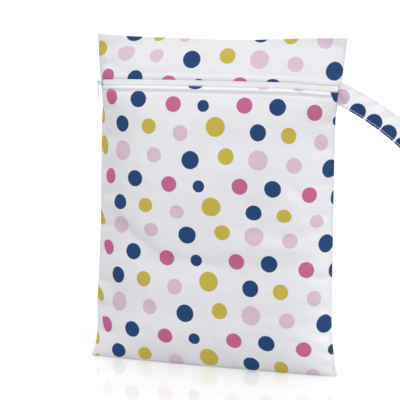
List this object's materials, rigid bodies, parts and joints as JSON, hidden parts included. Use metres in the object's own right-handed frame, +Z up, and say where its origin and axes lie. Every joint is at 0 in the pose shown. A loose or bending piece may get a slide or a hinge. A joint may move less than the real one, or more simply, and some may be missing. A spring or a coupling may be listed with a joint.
{
  "type": "cloth diaper wet bag",
  "caption": "Flat printed cloth wet bag, filled and standing, with a zip across the front, a hinged zip pull and a folded strap handle on its side.",
  "frame": {"origin": "middle of the flat base, on the surface that the bag stands on", "axes": "+Z up, front with the zip towards -Y, +X towards the side with the handle"},
  "size_m": [0.4165, 0.0614, 0.3884],
  "materials": {
    "printed_cloth": "smooth laminated cloth with printed dots",
    "zip_tape": "woven tape",
    "zip_coil": "satin nylon",
    "zip_metal": "white enamel",
    "thread": "sewing thread"
  },
  "bodies": {
    "bag": {"front_panel": "printed_cloth", "top_panel": "printed_cloth", "back_panel": "printed_cloth", "handle_loop": "printed_cloth", "zip_tape_upper": "zip_tape", "zip_tape_lower": "zip_tape", "zip_coil": "zip_coil", "zip_slider": "zip_metal"},
    "zip_pull": {"zip_pull": "zip_metal"}
  },
  "joints": [
    {"name": "zip_pull_hinge", "type": "hinge", "parent": "bag", "child": "zip_pull", "pos_m": [-0.14588, -0.00198, 0.33199], "axis": [-0.5117, 0.8592, 0], "range_deg": [0, 165]}
  ]
}
